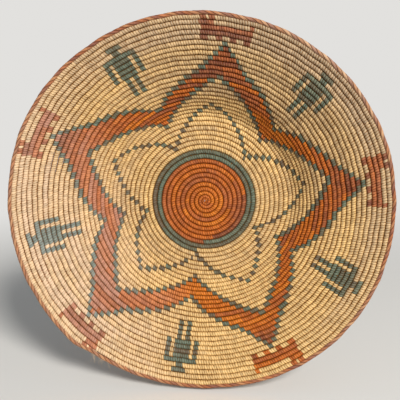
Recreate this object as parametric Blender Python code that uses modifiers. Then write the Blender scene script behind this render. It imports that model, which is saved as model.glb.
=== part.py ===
"""Coiled wall basket: a shallow round tray coiled from one long foundation wrapped in sewing splints.

The tray stands on edge as it hangs on a wall. Its open side faces -Y, its flat base touches the wall
at y = 0, and +Z is up. Run it in Blender 4.5; every size is in metres and every angle in degrees.
"""
import math

import bpy
from mathutils import Matrix, Vector

# Driving sizes of the coil
coil_pitch = 0.00575
coil_gap = 0.00045
end_gap = 0.0003
sides_in_section = 6

# Turns, counted outwards from the middle of the base
first_turn = 1.0
start_width = 0.52
start_turns = 4.5
medallion_end = 9.74
ring_end = 11.72
base_end = 19.72
shoulder_end = 23.72
star_end = 29.72
figure_end = 35.72
field_end = 40.65
coil_end = 41.65

# Slope of the tray's wall along its profile
shoulder_start = 17.8
shoulder_rise_turns = 3.7
shoulder_slope = 46.5
wall_start = 23.7
wall_ease_turns = 7.0
wall_slope = 29.5

# The thinned end of the outermost turn
taper_turns = 0.11
tip_width = 0.22

# Start knot in the middle of the base
knot_height = 0.0042
knot_edge = 0.0007
knot_facets = 16

# Braid laced round the rim
braid_thickness = 0.0041
braid_clearance = 0.0003
braid_ease_turns = 0.05

# Bends in one turn of the faceted tubes: fewer where the turns are small
bends_near_middle = 16
bends_outside = 32
profile_steps = 96

collection_name = "coiled_wall_basket"


def smooth(share):
    """Goes from 0 to 1 with no kink at either end."""
    share = min(max(share, 0.0), 1.0)
    return share * share * (3.0 - 2.0 * share)


def slope_at(turn):
    """Angle of the wall to the flat base, in radians."""
    rise = shoulder_slope * smooth((turn - shoulder_start) / shoulder_rise_turns)
    ease = (shoulder_slope - wall_slope) * smooth((turn - wall_start) / wall_ease_turns)
    return math.radians(rise - ease)


def width_at(turn):
    """Room that one turn takes along the profile, as a share of the pitch: the coil starts thin."""
    return start_width + (1.0 - start_width) * smooth(turn / start_turns)


def measure_profile():
    """Radius and height of the lines between the turns, walked outwards in short steps."""
    radius, height = 0.0, 0.0
    found = [(radius, height)]
    steps = int((coil_end + 2.0) * profile_steps)
    for step in range(steps):
        middle = (step + 0.5) / profile_steps
        stride = coil_pitch * width_at(middle) / profile_steps
        radius += stride * math.cos(slope_at(middle))
        height += stride * math.sin(slope_at(middle))
        found.append((radius, height))
    return found


profile = measure_profile()


def profile_at(turn):
    """Radius and height of the profile at any turn count."""
    place = turn * profile_steps
    low = int(place)
    share = place - low
    a, b = profile[low], profile[low + 1]
    return a[0] + (b[0] - a[0]) * share, a[1] + (b[1] - a[1]) * share


def taper_at(turn):
    """Width of the coil as a share of its full width: it thins at the outer end only."""
    into_taper = (turn - (coil_end - taper_turns)) / taper_turns
    return 1.0 - (1.0 - tip_width) * smooth(into_taper)


def tube_radius(turn):
    """Half the coil's thickness where its inner edge has made this many turns."""
    room = coil_pitch * width_at(turn + 0.5) * taper_at(turn)
    return (room - coil_gap) / 2


def half_depth(radius):
    """Distance from the tube's centre to the flat on its back."""
    return radius * math.cos(math.pi / sides_in_section)


def on_spiral(turn):
    """Centre of the coil; x is to the right, y is up and z is out of the wall."""
    radius, height = profile_at(turn + taper_at(turn) / 2)
    angle = 2 * math.pi * turn
    lift = half_depth(tube_radius(min(turn, base_end)))
    return Vector((radius * math.cos(angle), radius * math.sin(angle), height + lift))


def on_chord(turn, bends):
    """Point on the straight facet between two bends, so that ends stay in line with their neighbours."""
    low = math.floor(turn * bends + 1e-9)
    share = turn * bends - low
    return on_spiral(low / bends).lerp(on_spiral((low + 1) / bends), share)


def split_at(turn, bends):
    """Middle of the facet at this turn, where two stretches of coil meet face to face."""
    return (math.floor(turn * bends) + 0.5) / bends


def bend_turns(start, end, bends, end_bends):
    """Turn counts of the two ends and of the bends between them."""
    first = math.floor(start * bends + 1e-9) + 1
    last = math.ceil(end * bends - 1e-9) - 1
    inner = {k / bends for k in range(first, last + 1)}
    before_end = math.floor(end * end_bends - 1e-9) / end_bends
    return [start] + sorted(inner | {before_end}) + [end]


def end_share(turn):
    """Half the gap between two stretches of coil, in turns."""
    return end_gap / 2 / (2 * math.pi * profile_at(turn + 0.5)[0])


def new_material(name, colour, roughness):
    """Plain dyed or bare plant fibre."""
    material = bpy.data.materials.new(name)
    material.use_nodes = True
    shader = material.node_tree.nodes["Principled BSDF"]
    shader.inputs["Base Color"].default_value = (*colour, 1.0)
    shader.inputs["Roughness"].default_value = roughness
    shader.inputs["Metallic"].default_value = 0.0
    return material


def new_tube(name, points, radii, tilts, material, closed=False):
    """Tube of one POLY spline; its flats lie along the wall of the tray."""
    curve = bpy.data.curves.new(name, "CURVE")
    curve.dimensions = "3D"
    curve.twist_mode = "Z_UP"
    curve.bevel_depth = max(radii)
    curve.bevel_resolution = (sides_in_section - 4) // 2
    curve.use_fill_caps = not closed
    spline = curve.splines.new("POLY")
    spline.points.add(len(points) - 1)
    spline.use_cyclic_u = closed
    for point, place, radius, tilt in zip(spline.points, points, radii, tilts):
        point.co = (*place, 1.0)
        point.radius = radius / curve.bevel_depth
        point.tilt = tilt
    tube = bpy.data.objects.new(name, curve)
    curve.materials.append(material)
    return place_on_wall(tube)


def place_on_wall(piece):
    """Stands a piece drawn flat on its back up against the wall."""
    piece.rotation_euler = (math.radians(90), 0.0, 0.0)
    piece.parent = tray
    basket.objects.link(piece)
    return piece


def new_coil(name, start, end, bends, end_bends, material):
    """One unbroken stretch of the coil from start to end, in turns."""
    if start > first_turn:
        start = split_at(start, bends)
        start += end_share(start)
    if end < coil_end:
        end = split_at(end, end_bends)
        end -= end_share(end)
    turns = bend_turns(start, end, bends, end_bends)
    points = [on_spiral(turn) for turn in turns]
    points[0] = on_chord(start, bends)
    points[-1] = on_chord(end, end_bends)
    radii = [tube_radius(turn) for turn in turns]
    tilts = [-slope_at(turn + 0.5) for turn in turns]
    coils[name] = (points, radii)
    return new_tube(name, points, radii, tilts, material)


def new_knot(material):
    """Flat button of wrapped fibre inside the first turn; its back rests on the wall."""
    right, top, left, bottom = [profile_at(first_turn + quarter / 4)[0] for quarter in range(4)]
    radius = (right + left) / 2 - coil_gap
    middle = Vector(((right - left) / 2, (top - bottom) / 2, knot_height / 2))
    bpy.ops.mesh.primitive_cylinder_add(vertices=knot_facets, radius=radius, depth=knot_height)
    knot = bpy.context.object
    knot.name = knot.data.name = "start_knot"
    knot.data.transform(Matrix.Translation(middle))
    for other in knot.users_collection:
        other.objects.unlink(knot)
    knot.data.materials.append(material)
    bevel = knot.modifiers.new("rounded_edge", "BEVEL")
    bevel.width = knot_edge
    bevel.segments = 2
    bevel.limit_method = "ANGLE"
    knot.data.shade_smooth()
    knot.data.set_sharp_from_angle(angle=math.radians(50))
    return place_on_wall(knot)


def rim_edge(angle_turns):
    """Outer edge of the outermost turn at this angle, as a turn count of the profile."""
    behind_end = (coil_end - angle_turns) % 1.0
    turn = coil_end - behind_end
    edge = turn + taper_at(turn)
    after_end = 1.0 - behind_end
    return edge + tip_width * (1.0 - smooth(after_end / braid_ease_turns))


def new_braid(material):
    """Closed ring that stands on the outer edge of the last turn and steps down past its end."""
    points = []
    tilts = []
    stand_off = braid_thickness / 2 + braid_clearance - coil_gap / 2
    for bend in range(bends_outside):
        turn = bend / bends_outside
        edge = rim_edge(turn)
        radius, height = profile_at(edge)
        slope = slope_at(edge)
        radius += stand_off * math.cos(slope)
        height += stand_off * math.sin(slope) + half_depth((coil_pitch - coil_gap) / 2)
        angle = 2 * math.pi * turn
        points.append(Vector((radius * math.cos(angle), radius * math.sin(angle), height)))
        tilts.append(-slope)
    radii = [braid_thickness / 2] * len(points)
    return new_tube("rim_braid", points, radii, tilts, material, closed=True)


def least_gap(points, radii):
    """Least clear distance between the turns of a tube, measured between its bends."""
    least = math.inf
    half_turn = bends_near_middle // 2
    for i, (point, radius) in enumerate(zip(points, radii)):
        for other, other_radius in zip(points[i + half_turn:], radii[i + half_turn:]):
            least = min(least, (other - point).length - radius - other_radius)
    return least


for old in list(bpy.data.objects):
    bpy.data.objects.remove(old)

basket = bpy.data.collections.new(collection_name)
bpy.context.scene.collection.children.link(basket)
tray = bpy.data.objects.new("tray", None)
basket.objects.link(tray)

natural_splint = new_material("natural_splint", (0.66, 0.50, 0.29), 0.7)
rust_splint = new_material("rust_splint", (0.46, 0.15, 0.07), 0.7)
green_splint = new_material("green_splint", (0.16, 0.22, 0.19), 0.7)
braid_splint = new_material("braid_splint", (0.42, 0.18, 0.12), 0.75)

coils = {}
few, many = bends_near_middle, bends_outside
new_knot(rust_splint)
new_coil("medallion_coil", first_turn, medallion_end, few, few, rust_splint)
new_coil("green_ring_coil", medallion_end, ring_end, few, many, green_splint)
new_coil("base_coil", ring_end, base_end, many, many, natural_splint)
new_coil("shoulder_coil", base_end, shoulder_end, many, many, natural_splint)
new_coil("star_coil", shoulder_end, star_end, many, many, natural_splint)
new_coil("figure_coil", star_end, figure_end, many, many, natural_splint)
new_coil("field_coil", figure_end, field_end, many, many, natural_splint)
new_coil("rim_coil", field_end, coil_end, many, many, natural_splint)
new_braid(braid_splint)

for name, (points, radii) in coils.items():
    print(f"{name}: {len(points)} points, least gap to itself {least_gap(points, radii) * 1000:.2f} mm")
radius, height = profile_at(coil_end)
print(f"last turn: {2000 * radius:.0f} mm across, {1000 * height:.0f} mm out from the base")
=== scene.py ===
# %% [markdown]
# # A coiled wall basket, stitch by stitch
# The basket is one long foundation of grass, wound from the middle outwards and wrapped with flat plant
# splints in thousands of stitches. Each stitch also catches the turn before it, and that is all that
# holds the basket together. The star, the people and the animals aren't painted: they are stitches of
# dyed splint. So this lesson models one stitch, repeats it along the spiral, and picks the dye of each.

# %% [markdown]
# ## The frame
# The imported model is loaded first. It gives the size and place that every piece here has to keep.
# Its box is remembered, because the finished basket is compared with it at the end.

import math

import bmesh
import bpy
import numpy as np
from mathutils import Matrix, Quaternion, Vector


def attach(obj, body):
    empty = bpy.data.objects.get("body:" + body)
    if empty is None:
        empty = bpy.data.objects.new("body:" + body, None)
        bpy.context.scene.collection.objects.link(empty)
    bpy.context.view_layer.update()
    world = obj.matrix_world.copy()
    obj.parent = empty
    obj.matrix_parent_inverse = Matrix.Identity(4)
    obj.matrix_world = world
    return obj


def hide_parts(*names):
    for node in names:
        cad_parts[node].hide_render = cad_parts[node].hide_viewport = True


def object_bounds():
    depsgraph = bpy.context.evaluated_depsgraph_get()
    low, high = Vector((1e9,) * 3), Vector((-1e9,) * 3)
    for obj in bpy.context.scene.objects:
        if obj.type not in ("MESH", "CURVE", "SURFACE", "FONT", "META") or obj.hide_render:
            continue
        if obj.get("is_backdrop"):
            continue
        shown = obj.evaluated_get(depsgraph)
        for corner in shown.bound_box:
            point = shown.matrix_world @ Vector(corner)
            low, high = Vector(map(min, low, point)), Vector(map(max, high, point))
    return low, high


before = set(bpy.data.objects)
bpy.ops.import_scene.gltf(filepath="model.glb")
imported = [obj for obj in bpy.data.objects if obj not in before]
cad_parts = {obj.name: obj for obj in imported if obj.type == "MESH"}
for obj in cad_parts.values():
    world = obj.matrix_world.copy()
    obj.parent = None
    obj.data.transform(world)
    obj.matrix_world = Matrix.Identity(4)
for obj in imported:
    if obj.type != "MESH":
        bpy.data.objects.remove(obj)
frame_low, frame_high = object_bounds()
frame_size = frame_high - frame_low
print("frame nodes:", ", ".join(sorted(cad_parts)))
print("frame size in mm:", [round(1000 * side, 1) for side in frame_size])

# %% [markdown]
# ## The camera
# The basket stands upright and its open side faces -Y. The camera looks at the middle of the base from
# a little above and a little to the right, and is rolled by about one degree. An orbit of angle, height
# and distance is easier to read and to change than a bare rotation matrix.

# %% Place the camera
lens_mm = 50.4
camera_azimuth = math.radians(5.61)
camera_elevation = math.radians(9.98)
camera_roll = math.radians(0.98)
camera_distance = 0.6962
camera_clip_start = 0.01
camera_aim = Vector((-0.0055, -0.0030, 0.0008))


def add_object(name, data):
    """New object in the scene with this camera, lamp or mesh."""
    made = bpy.data.objects.new(name, data)
    bpy.context.scene.collection.objects.link(made)
    return made


towards_camera = Vector((
    math.sin(camera_azimuth) * math.cos(camera_elevation),
    -math.cos(camera_azimuth) * math.cos(camera_elevation),
    math.sin(camera_elevation),
))
camera_data = bpy.data.cameras.new("camera")
camera_data.lens = lens_mm
camera_data.clip_start = camera_clip_start
camera = add_object("camera", camera_data)
camera.location = camera_aim + camera_distance * towards_camera
camera.rotation_mode = "QUATERNION"
level_view = (-towards_camera).to_track_quat("-Z", "Y")
camera.rotation_quaternion = level_view @ Quaternion((0.0, 0.0, 1.0), -camera_roll)
bpy.context.scene.camera = camera
print("camera at", [round(value, 4) for value in camera.location])

# %% [markdown]
# ## The path of the coil
# Every piece follows one spiral. A place on it is a number of turns, counted along the inner edge of the
# coil from the middle of the base, anticlockwise as seen from the front. The same few sizes as the
# frame's give the profile of the tray: a flat base, a steep shoulder and a flatter wall. The profile is
# walked in short steps and read back by interpolation, which is simpler than a formula for its curves.

# %% Walk the profile of the tray
coil_pitch = 0.00575
coil_gap = 0.00045
start_width = 0.52
start_turns = 4.5
shoulder_start = 17.8
shoulder_rise_turns = 3.7
shoulder_slope = 46.5
wall_start = 23.7
wall_ease_turns = 7.0
wall_slope = 29.5
coil_end = 41.65
taper_turns = 0.022
tip_width = 0.22
profile_steps = 96
spare_turns = 2.0


def smooth(share):
    """Goes from 0 to 1 with no kink at either end."""
    share = np.clip(share, 0.0, 1.0)
    return share * share * (3.0 - 2.0 * share)


def slope_at(turn):
    """Angle of the wall to the flat base, in radians."""
    rise = shoulder_slope * smooth((turn - shoulder_start) / shoulder_rise_turns)
    ease = (shoulder_slope - wall_slope) * smooth((turn - wall_start) / wall_ease_turns)
    return np.radians(rise - ease)


def width_at(turn):
    """Room for one turn along the profile, as a share of the pitch: the coil starts thin."""
    return start_width + (1.0 - start_width) * smooth(turn / start_turns)


def taper_at(turn):
    """Width of the coil as a share of its full width: it thins at the outer end only."""
    return 1.0 - (1.0 - tip_width) * smooth((turn - (coil_end - taper_turns)) / taper_turns)


step_count = int((coil_end + spare_turns) * profile_steps)
step_middles = (np.arange(step_count) + 0.5) / profile_steps
strides = coil_pitch * width_at(step_middles) / profile_steps
profile_turns = np.arange(step_count + 1) / profile_steps
profile_radii = np.append(0.0, np.cumsum(strides * np.cos(slope_at(step_middles))))
profile_heights = np.append(0.0, np.cumsum(strides * np.sin(slope_at(step_middles))))


def profile_at(turn):
    """Radius and height of the line between two turns."""
    return np.interp(turn, profile_turns, profile_radii), np.interp(turn, profile_turns, profile_heights)


rim_radius, rim_height = profile_at(coil_end)
print(f"the coil ends {1000 * rim_radius:.1f} mm from the middle and {1000 * rim_height:.1f} mm out")

# %% [markdown]
# No hand-made tray is quite round. This one bulges by two to three millimetres at the left of its rim,
# and is drawn in as much at the bottom. Each such place is a smooth bump round the rim, in full at the edge
# and gone in the lowest third of the wall. A bump is given by its angle and its reach, both in degrees,
# and by its height. The start of the coil sits a millimetre off the middle, too. The rows also waver by
# a fraction of a millimetre: a few slow waves, shared by neighbours, do that. A wave is given by its
# count round the basket, by how far it turns from row to row, and by where it starts.

# %% Let the wall stray from a true circle
wall_bumps = (
    (162.0, 52.0, 0.0025), (212.0, 45.0, 0.0011), (270.0, 34.0, -0.0026), (298.0, 30.0, -0.0009),
    (352.0, 32.0, -0.0019), (68.0, 34.0, -0.0012),
)
stray_start = 29.0
row_waver = 0.00017
waver_full_turn = 30.0
waver_waves = ((5, 0.5, 0.3), (9, -0.7, 1.9), (16, 0.4, 4.0), (31, -0.5, 2.2), (47, 0.3, 5.1))
drift_x = 0.0013
drift_z = -0.0004
drift_end = 20.0


def degrees_from(start, angle):
    """Shortest way round from one angle to another, in degrees."""
    return (angle - start + 180.0) % 360.0 - 180.0


def add_bumps(bumps, angle):
    """Sum of smooth bumps round the basket at these angles, in degrees."""
    total = 0.0
    for middle, reach, height in bumps:
        total = total + height * smooth(1.0 - np.abs(degrees_from(middle, angle)) / reach)
    return total


def stray_at(angle, turn):
    """Distance outwards from the true circle at this angle and turn."""
    share = smooth((turn - stray_start) / (coil_end - stray_start))
    return add_bumps(wall_bumps, np.degrees(angle)) * share


def waver_at(angle, turn):
    """Small wavering of the rows, in and out."""
    total = 0.0
    for round_count, turn_rate, phase in waver_waves:
        total = total + np.sin(round_count * angle + turn_rate * turn + phase)
    return row_waver * total * smooth(turn / waver_full_turn)


def drift_at(turn):
    """How far the first turns sit off the middle, as an offset along x and z."""
    share = 1.0 - smooth(turn / drift_end)
    return drift_x * share, drift_z * share


rim_stray = stray_at(np.radians(np.arange(360.0)), coil_end)
print(f"the rim strays by {1000 * rim_stray.min():.1f} to {1000 * rim_stray.max():.1f} mm")

# %% [markdown]
# A point near the coil is given by its turn, its distance across the coil along the wall, and its
# distance off the wall towards the open side. One function turns these three numbers into world
# coordinates. With numpy it takes whole arrays, so it can bend a straight string of stitches, or the
# strands of the rim, round the spiral in one call.

# %% Bend straight things round the spiral
sides_in_section = 6


def coil_room(turn):
    """Full width of the coil at this turn."""
    return coil_pitch * width_at(turn + 0.5) * taper_at(turn)


def coil_lift(turn):
    """Distance from the coil's back to its centre: the frame's coil lies on one of its flat sides."""
    room = coil_pitch * width_at(turn + 0.5)
    return (room - coil_gap) / 2 * math.cos(math.pi / sides_in_section)


def off_profile(angle, edge_turn, lift, across, off):
    """World points beside the profile line: across follows the wall outwards, off leaves it forwards."""
    radius, height = profile_at(edge_turn)
    slope = slope_at(edge_turn)
    radius = radius + across * np.cos(slope) - off * np.sin(slope)
    radius = radius + stray_at(angle, edge_turn) + waver_at(angle, edge_turn)
    height = height + lift + across * np.sin(slope) + off * np.cos(slope)
    shift_x, shift_z = drift_at(edge_turn)
    x = radius * np.cos(angle) + shift_x
    z = radius * np.sin(angle) + shift_z
    return np.stack([x, -height, z], axis=-1)


def on_coil(turn, across, off):
    """World points beside the centre of the coil."""
    return off_profile(2 * np.pi * turn, turn + taper_at(turn) / 2, coil_lift(turn), across, off)


print("the coil ends at", np.round(on_coil(coil_end, 0.0, 0.0), 4))

# %% [markdown]
# ## The pattern
# A weaver thinks of the pattern as places where the dyed splint starts and stops in each turn. The star
# has five arms. Its outer outline, its inner outline and the petal line inside it are closed lines that
# climb to five tips and fall to five valleys. Each is given by the angle and the turn of its tips and
# valleys, as they lie on this hand-made basket, where no two arms are quite alike. Between a tip and a
# valley the line follows a short list of shares, because the real arms are slimmer near the tip.
# The petal line is finer than the others: a row of small cells, each about two stitches wide.

# %% Describe the star and the petal line
star_tips = ((9.2, 36), (80.3, 36), (152.8, 36), (223.2, 36), (296.5, 35))
star_valleys = ((46.0, 23), (114.2, 22.5), (190.0, 23), (261.9, 22), (331.3, 22))
star_side = ((0.0, 0.0), (0.25, 0.385), (0.77, 0.77), (1.0, 1.0))

inner_tips = ((12.0, 29), (81.3, 29), (154.1, 28), (224.8, 28), (299.0, 28))
inner_valleys = ((47.2, 18), (115.6, 18), (189.7, 18), (262.5, 17), (333.3, 17))
petal_tips = ((10.8, 23), (84.0, 22), (153.8, 22), (226.0, 21), (298.4, 20))
petal_valleys = ((47.4, 13), (117.8, 13), (190.0, 13), (260.6, 12), (332.3, 12))
straight_side = ((0.0, 0.0), (1.0, 1.0))


def closed_line(tips, valleys, side):
    """Angles and turns of a line that runs from tip to valley and back, five times round."""
    shares, drops = zip(*side)
    angles, turns = [], []
    for arm in range(len(tips)):
        tip_angle, tip_turn = tips[arm]
        for neighbour in (arm - 1, arm):
            valley_angle, valley_turn = valleys[neighbour]
            span = degrees_from(tip_angle, valley_angle)
            drop = (valley_turn + valley_angle / 360.0) - (tip_turn + tip_angle / 360.0)
            for share, fall in zip(shares, drops):
                angles.append(tip_angle + span * share)
                turns.append(tip_turn + tip_angle / 360.0 + drop * fall)
    order = np.argsort(angles)
    return np.array(angles)[order], np.array(turns)[order]


def line_turn(line, angle):
    """Turn of a closed line at these angles."""
    return np.interp(angle % 360.0, *line, period=360.0)


petal_cell_width = 0.0060


def in_short_cells(line, turn, angle):
    """True within half a cell of the place where the line crosses the coil."""
    nudge = 0.5
    ahead = line_turn(line, angle + nudge) - line_turn(line, angle - nudge)
    steepness = ahead / (2 * nudge) - 1 / 360.0
    lag = line_turn(line, angle) - turn
    distance = np.radians(np.abs(lag / steepness)) * profile_at(turn + 0.5)[0]
    return (np.abs(lag) < 0.5) & (distance < petal_cell_width / 2)


star_outline = closed_line(star_tips, star_valleys, star_side)
inner_outline = closed_line(inner_tips, inner_valleys, straight_side)
petal_line = closed_line(petal_tips, petal_valleys, straight_side)
print("star outline has", len(star_outline[0]), "corners")

# %% [markdown]
# The people and animals are charts, one row for each turn, as on squared paper. A span is written in
# stitches from the middle of a person, or from the tail of an animal. The same chart is used for all
# five, at the angle and turn where each one starts.

# %% Chart the people and the animals
stitch_width = 0.0028

arms_and_body = ((-7.0, -5.0), (-3.4, 3.6), (5.1, 7.1))
legs = ((-2.8, -0.8), (0.8, 2.8))
person_rows = (
    ((-3.0, 3.0),),
    ((-1.4, 1.6),),
    ((-7.0, 7.0),),
    arms_and_body, arms_and_body, arms_and_body, arms_and_body,
    legs, legs, legs, legs,
)
animal_rows = (
    ((15.6, 17.9), (19.0, 21.3)),
    ((0.0, 1.6), (15.6, 21.3)),
    ((0.0, 20.0),),
    ((0.0, 20.0),),
    ((0.0, 2.6), (5.4, 8.0), (11.0, 13.4), (16.6, 19.6)),
)
person_places = ((45.9, 39), (116.9, 39), (189.9, 39), (261.5, 38), (333.8, 38))
animal_places = ((1.4, 41), (72.4, 41), (145.5, 41), (216.3, 41), (288.4, 40))


def in_chart(rows, places, turn, angle):
    """True where a stitch falls in one of the figures of a chart; the first row is the outermost."""
    found = np.zeros(len(turn), bool)
    row_number = np.floor(turn)
    for place_angle, first_row in places:
        for down, spans in enumerate(rows):
            row = np.flatnonzero(row_number == first_row - down)
            radius = profile_at(turn[row] + 0.5)[0]
            offset = np.radians(angle[row] - place_angle) * radius / stitch_width
            for low, high in spans:
                found[row] |= (offset > low) & (offset < high)
    return found


print("a person takes", len(person_rows), "turns and an animal", len(animal_rows))

# %% [markdown]
# ## Where each stitch goes
# The stitches are laid one after another along the coil. The coil is measured in many short steps,
# and the stitches share out its length. Their widths vary a little, as hand-split splints do.

# %% Lay out the stitches
random = np.random.default_rng(42)
width_variation = 0.13
fine_turn_count = 40000

fine_turns = np.linspace(0.0, coil_end, fine_turn_count)
fine_points = on_coil(fine_turns, 0.0, 0.0)
fine_steps = np.linalg.norm(np.diff(fine_points, axis=0), axis=1)
fine_lengths = np.append(0.0, np.cumsum(fine_steps))
coil_length = fine_lengths[-1]
stitch_count = int(coil_length / stitch_width)
stitch_widths = random.uniform(1 - width_variation, 1 + width_variation, stitch_count)
stitch_edges = np.append(0.0, np.cumsum(stitch_widths))
stitch_edges *= coil_length / stitch_edges[-1]
print(f"{stitch_count} stitches on {coil_length:.1f} m of coil")

# %% [markdown]
# A weaver starts and stops a figure at a stitch, never within one. So the edges of the stitches near a
# figure are shifted until its spans fall between two of them, and the shift is spread over a few
# stitches on either side.

# %% Fit the stitches to the figures
ease_stitches = 7


def fit_stitches(rows, places):
    """Shifts the stitches near a figure a little, so that its spans start and stop between two."""
    for place_angle, first_row in places:
        for down, spans in enumerate(rows):
            row = first_row - down
            bounds = np.ravel(spans)
            radius = profile_at(row + place_angle / 360.0 + 0.5)[0]
            bound_turns = row + (place_angle + np.degrees(bounds * stitch_width / radius)) / 360.0
            aims = np.interp(bound_turns, fine_turns, fine_lengths)
            first = np.argmin(np.abs(stitch_edges - aims[0]))
            steps = np.maximum(np.round(np.diff(bounds)), 1).astype(int)
            moved = first + np.append(0, np.cumsum(steps))
            before = first - ease_stitches
            after = min(moved[-1] + ease_stitches, stitch_count)
            old = stitch_edges[[before, *moved, after]]
            new = np.array([old[0], *aims, old[-1]])
            stitch_edges[before:after + 1] = np.interp(stitch_edges[before:after + 1], old, new)


fit_stitches(person_rows, person_places)
fit_stitches(animal_rows, animal_places)
edge_turns = np.interp(stitch_edges, fine_lengths, fine_turns)
middle_turns = (edge_turns[:-1] + edge_turns[1:]) / 2
middle_angles = (middle_turns % 1.0) * 360.0
fitted_widths = 1000 * np.diff(stitch_edges)
print(f"a stitch is {fitted_widths.min():.1f} to {fitted_widths.max():.1f} mm wide")

# %% [markdown]
# A splint is long enough for about two dozen stitches. Each splint has its own random tone and its own
# share of fading, and all its stitches have them in common. That gives the long patches of slightly
# different colour. A third random number belongs to the stitch alone.

# %% Cut the splints
stitches_in_splint = (14, 34)

splint_numbers = np.zeros(stitch_count, int)
laid = 0
splint = 0
while laid < stitch_count:
    run = int(random.integers(*stitches_in_splint))
    splint_numbers[laid:laid + run] = splint
    laid += run
    splint += 1
splint_draws = random.random(splint)[splint_numbers]
splint_fading = random.random(splint)[splint_numbers]
stitch_tones = random.random(stitch_count)
print(f"the stitches take {splint} splints")

# %% [markdown]
# Each stitch now gets its dye. A stitch belongs to a line where the line passes within half a turn of
# it, and that makes the stair steps of the real basket by itself.

# %% Dye the stitches
medallion_end = 9.74
ring_end = 11.72
knot_end = 1.0

outer_turns = line_turn(star_outline, middle_angles)
inner_turns = line_turn(inner_outline, middle_angles)
on_star_outline = np.abs(middle_turns - outer_turns) < 0.5
on_inner_outline = np.abs(middle_turns - inner_turns) < 0.5
in_star = (middle_turns > inner_turns) & (middle_turns < outer_turns)
on_petal_line = in_short_cells(petal_line, middle_turns, middle_angles)
in_person = in_chart(person_rows, person_places, middle_turns, middle_angles)
in_animal = in_chart(animal_rows, animal_places, middle_turns, middle_angles)

motif = np.full(stitch_count, "field", dtype="U16")
motif[on_petal_line] = "petal_line"
motif[in_star] = "star"
motif[on_inner_outline | on_star_outline] = "star_outline"
motif[in_person] = "people"
motif[in_animal] = "animals"
motif[middle_turns < ring_end] = "green_ring"
motif[middle_turns < medallion_end] = "medallion"
motif[middle_turns < knot_end] = "start_knot"
for name in np.unique(motif):
    print(f"{name}: {np.count_nonzero(motif == name)} stitches")

# %% [markdown]
# The splints were cut and dyed in batches, so their tone also drifts round the basket. A list gives a
# tone, from 0 for deep to 1 for pale, at each of a few angles or turns. The bare tones also hold painted
# light and shade: on the wall the bare splints are painted deepest at the upper right, as painted shade
# where the wall faces away from the lamp, and on the shoulder they are palest there, as painted light
# on the shaded shoulder, and at the bottom. The rust ones are brightest in the middle of the medallion
# and in the inner rows of the star, and brown towards its tips, so a shift from turn to turn is added
# to their tone. The green ones are olive in the fine petal line.

# %% Let the tone drift round the basket
batch_angles = (15, 45, 75, 105, 135, 165, 200, 235, 265, 300, 335)
plain_tone = 0.5
# The bare tones paint light on the shoulder and shade on the wall, both at the upper right
shoulder_tones_and_painted_light = (0.55, 0.95, 1.00, 0.60, 0.50, 0.50, 0.55, 0.75, 1.00, 0.70, 0.55)
wall_tones_and_painted_shade = (0.30, 0.05, 0.00, 0.20, 0.45, 0.60, 0.60, 0.60, 0.70, 0.75, 0.65)
shoulder_from = (16.0, 19.0)
wall_from = (23.0, 26.5)
star_tones = (0.50, 0.65, 0.25, 0.12, 0.42, 0.60, 0.60, 0.72, 0.70, 0.63, 0.18)
rust_turns = (0.0, 6.0, 9.0, 21.0, 25.0, 28.0, 31.0, 36.0, 40.0)
rust_shifts = (0.36, 0.22, -0.06, 0.35, 0.20, 0.10, -0.12, -0.35, -0.20)
green_turns = (10.0, 12.0, 26.0, 32.0, 40.0)
green_tones = (0.55, 0.15, 0.30, 0.50, 0.55)


def round_basket(values):
    """Values given at the batch angles, read at the angle of each stitch."""
    return np.interp(middle_angles, batch_angles, values, period=360.0)


def share_past(span):
    """Goes from 0 to 1 as the stitches cross a span of turns."""
    return smooth((middle_turns - span[0]) / (span[1] - span[0]))


on_shoulder = share_past(shoulder_from)
bare_batch_with_painted_light = plain_tone + (round_basket(shoulder_tones_and_painted_light) - plain_tone) * on_shoulder
bare_batch_with_painted_light += (round_basket(wall_tones_and_painted_shade) - bare_batch_with_painted_light) * share_past(wall_from)
rust_batch = plain_tone + (round_basket(star_tones) - plain_tone) * on_shoulder
rust_batch += np.interp(middle_turns, rust_turns, rust_shifts)
green_batch = np.interp(middle_turns, green_turns, green_tones)
for name, tones in (("bare", bare_batch_with_painted_light), ("rust", rust_batch), ("green", green_batch)):
    print(f"the {name} batches run from {tones.min():.2f} to {tones.max():.2f}")

# %% [markdown]
# A slow wave keeps the drift from looking drawn. Then the random tone of each splint is spread round
# the tone of its batch. The dyed splints took the dye unevenly, so their spread is wider. Near the rim
# the splints are a little greyer, all but those at the left and the bottom.

# %% Spread the splints' own tones
batch_wave = 0.10
wave_per_turn = 0.83
waves_round = 3
bare_spread = 0.5
dyed_spread = 0.75
greying_shares = (1.0, 1.0, 0.9, 0.9, 0.9, 0.3, 0.0, 0.0, 0.0, 0.0, 0.75)
greying_from = (34.0, 38.5)

is_rust = np.isin(motif, ("start_knot", "medallion", "star", "animals"))
is_green = np.isin(motif, ("green_ring", "petal_line", "star_outline", "people"))
batch = np.where(is_rust, rust_batch, np.where(is_green, green_batch, bare_batch_with_painted_light))
batch += batch_wave * np.sin(wave_per_turn * middle_turns + np.radians(waves_round * middle_angles))
spread = np.where(is_rust | is_green, dyed_spread, bare_spread)
splint_tones = np.clip(batch + spread * (splint_draws - 0.5), 0.0, 1.0)
greying = round_basket(greying_shares) * share_past(greying_from)
print(f"{100 * np.mean(greying > 0.5):.0f}% of the stitches have greyed")

# %% [markdown]
# ## One stitch
# A stitch is a band of splint pulled tight round the coil: a short barrel with slightly lower ends, so
# that a fine groove shows between neighbours. It could be a bent strip, but a closed barrel has no open
# edges, and its hidden side costs little. A cone primitive with equal radii is a barrel once two cuts
# are added along it. There are thousands of copies, so it has only a few dozen faces.

# %% Model one stitch
sides_in_stitch = 12
cuts_in_stitch = 2
stitch_end_size = 0.85
flat_share = 0.62
near_end = 0.4


def finish_mesh(bm, name):
    """Turns a bmesh into a mesh of this name."""
    mesh = bpy.data.meshes.new(name)
    bm.to_mesh(mesh)
    bm.free()
    return mesh


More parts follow.
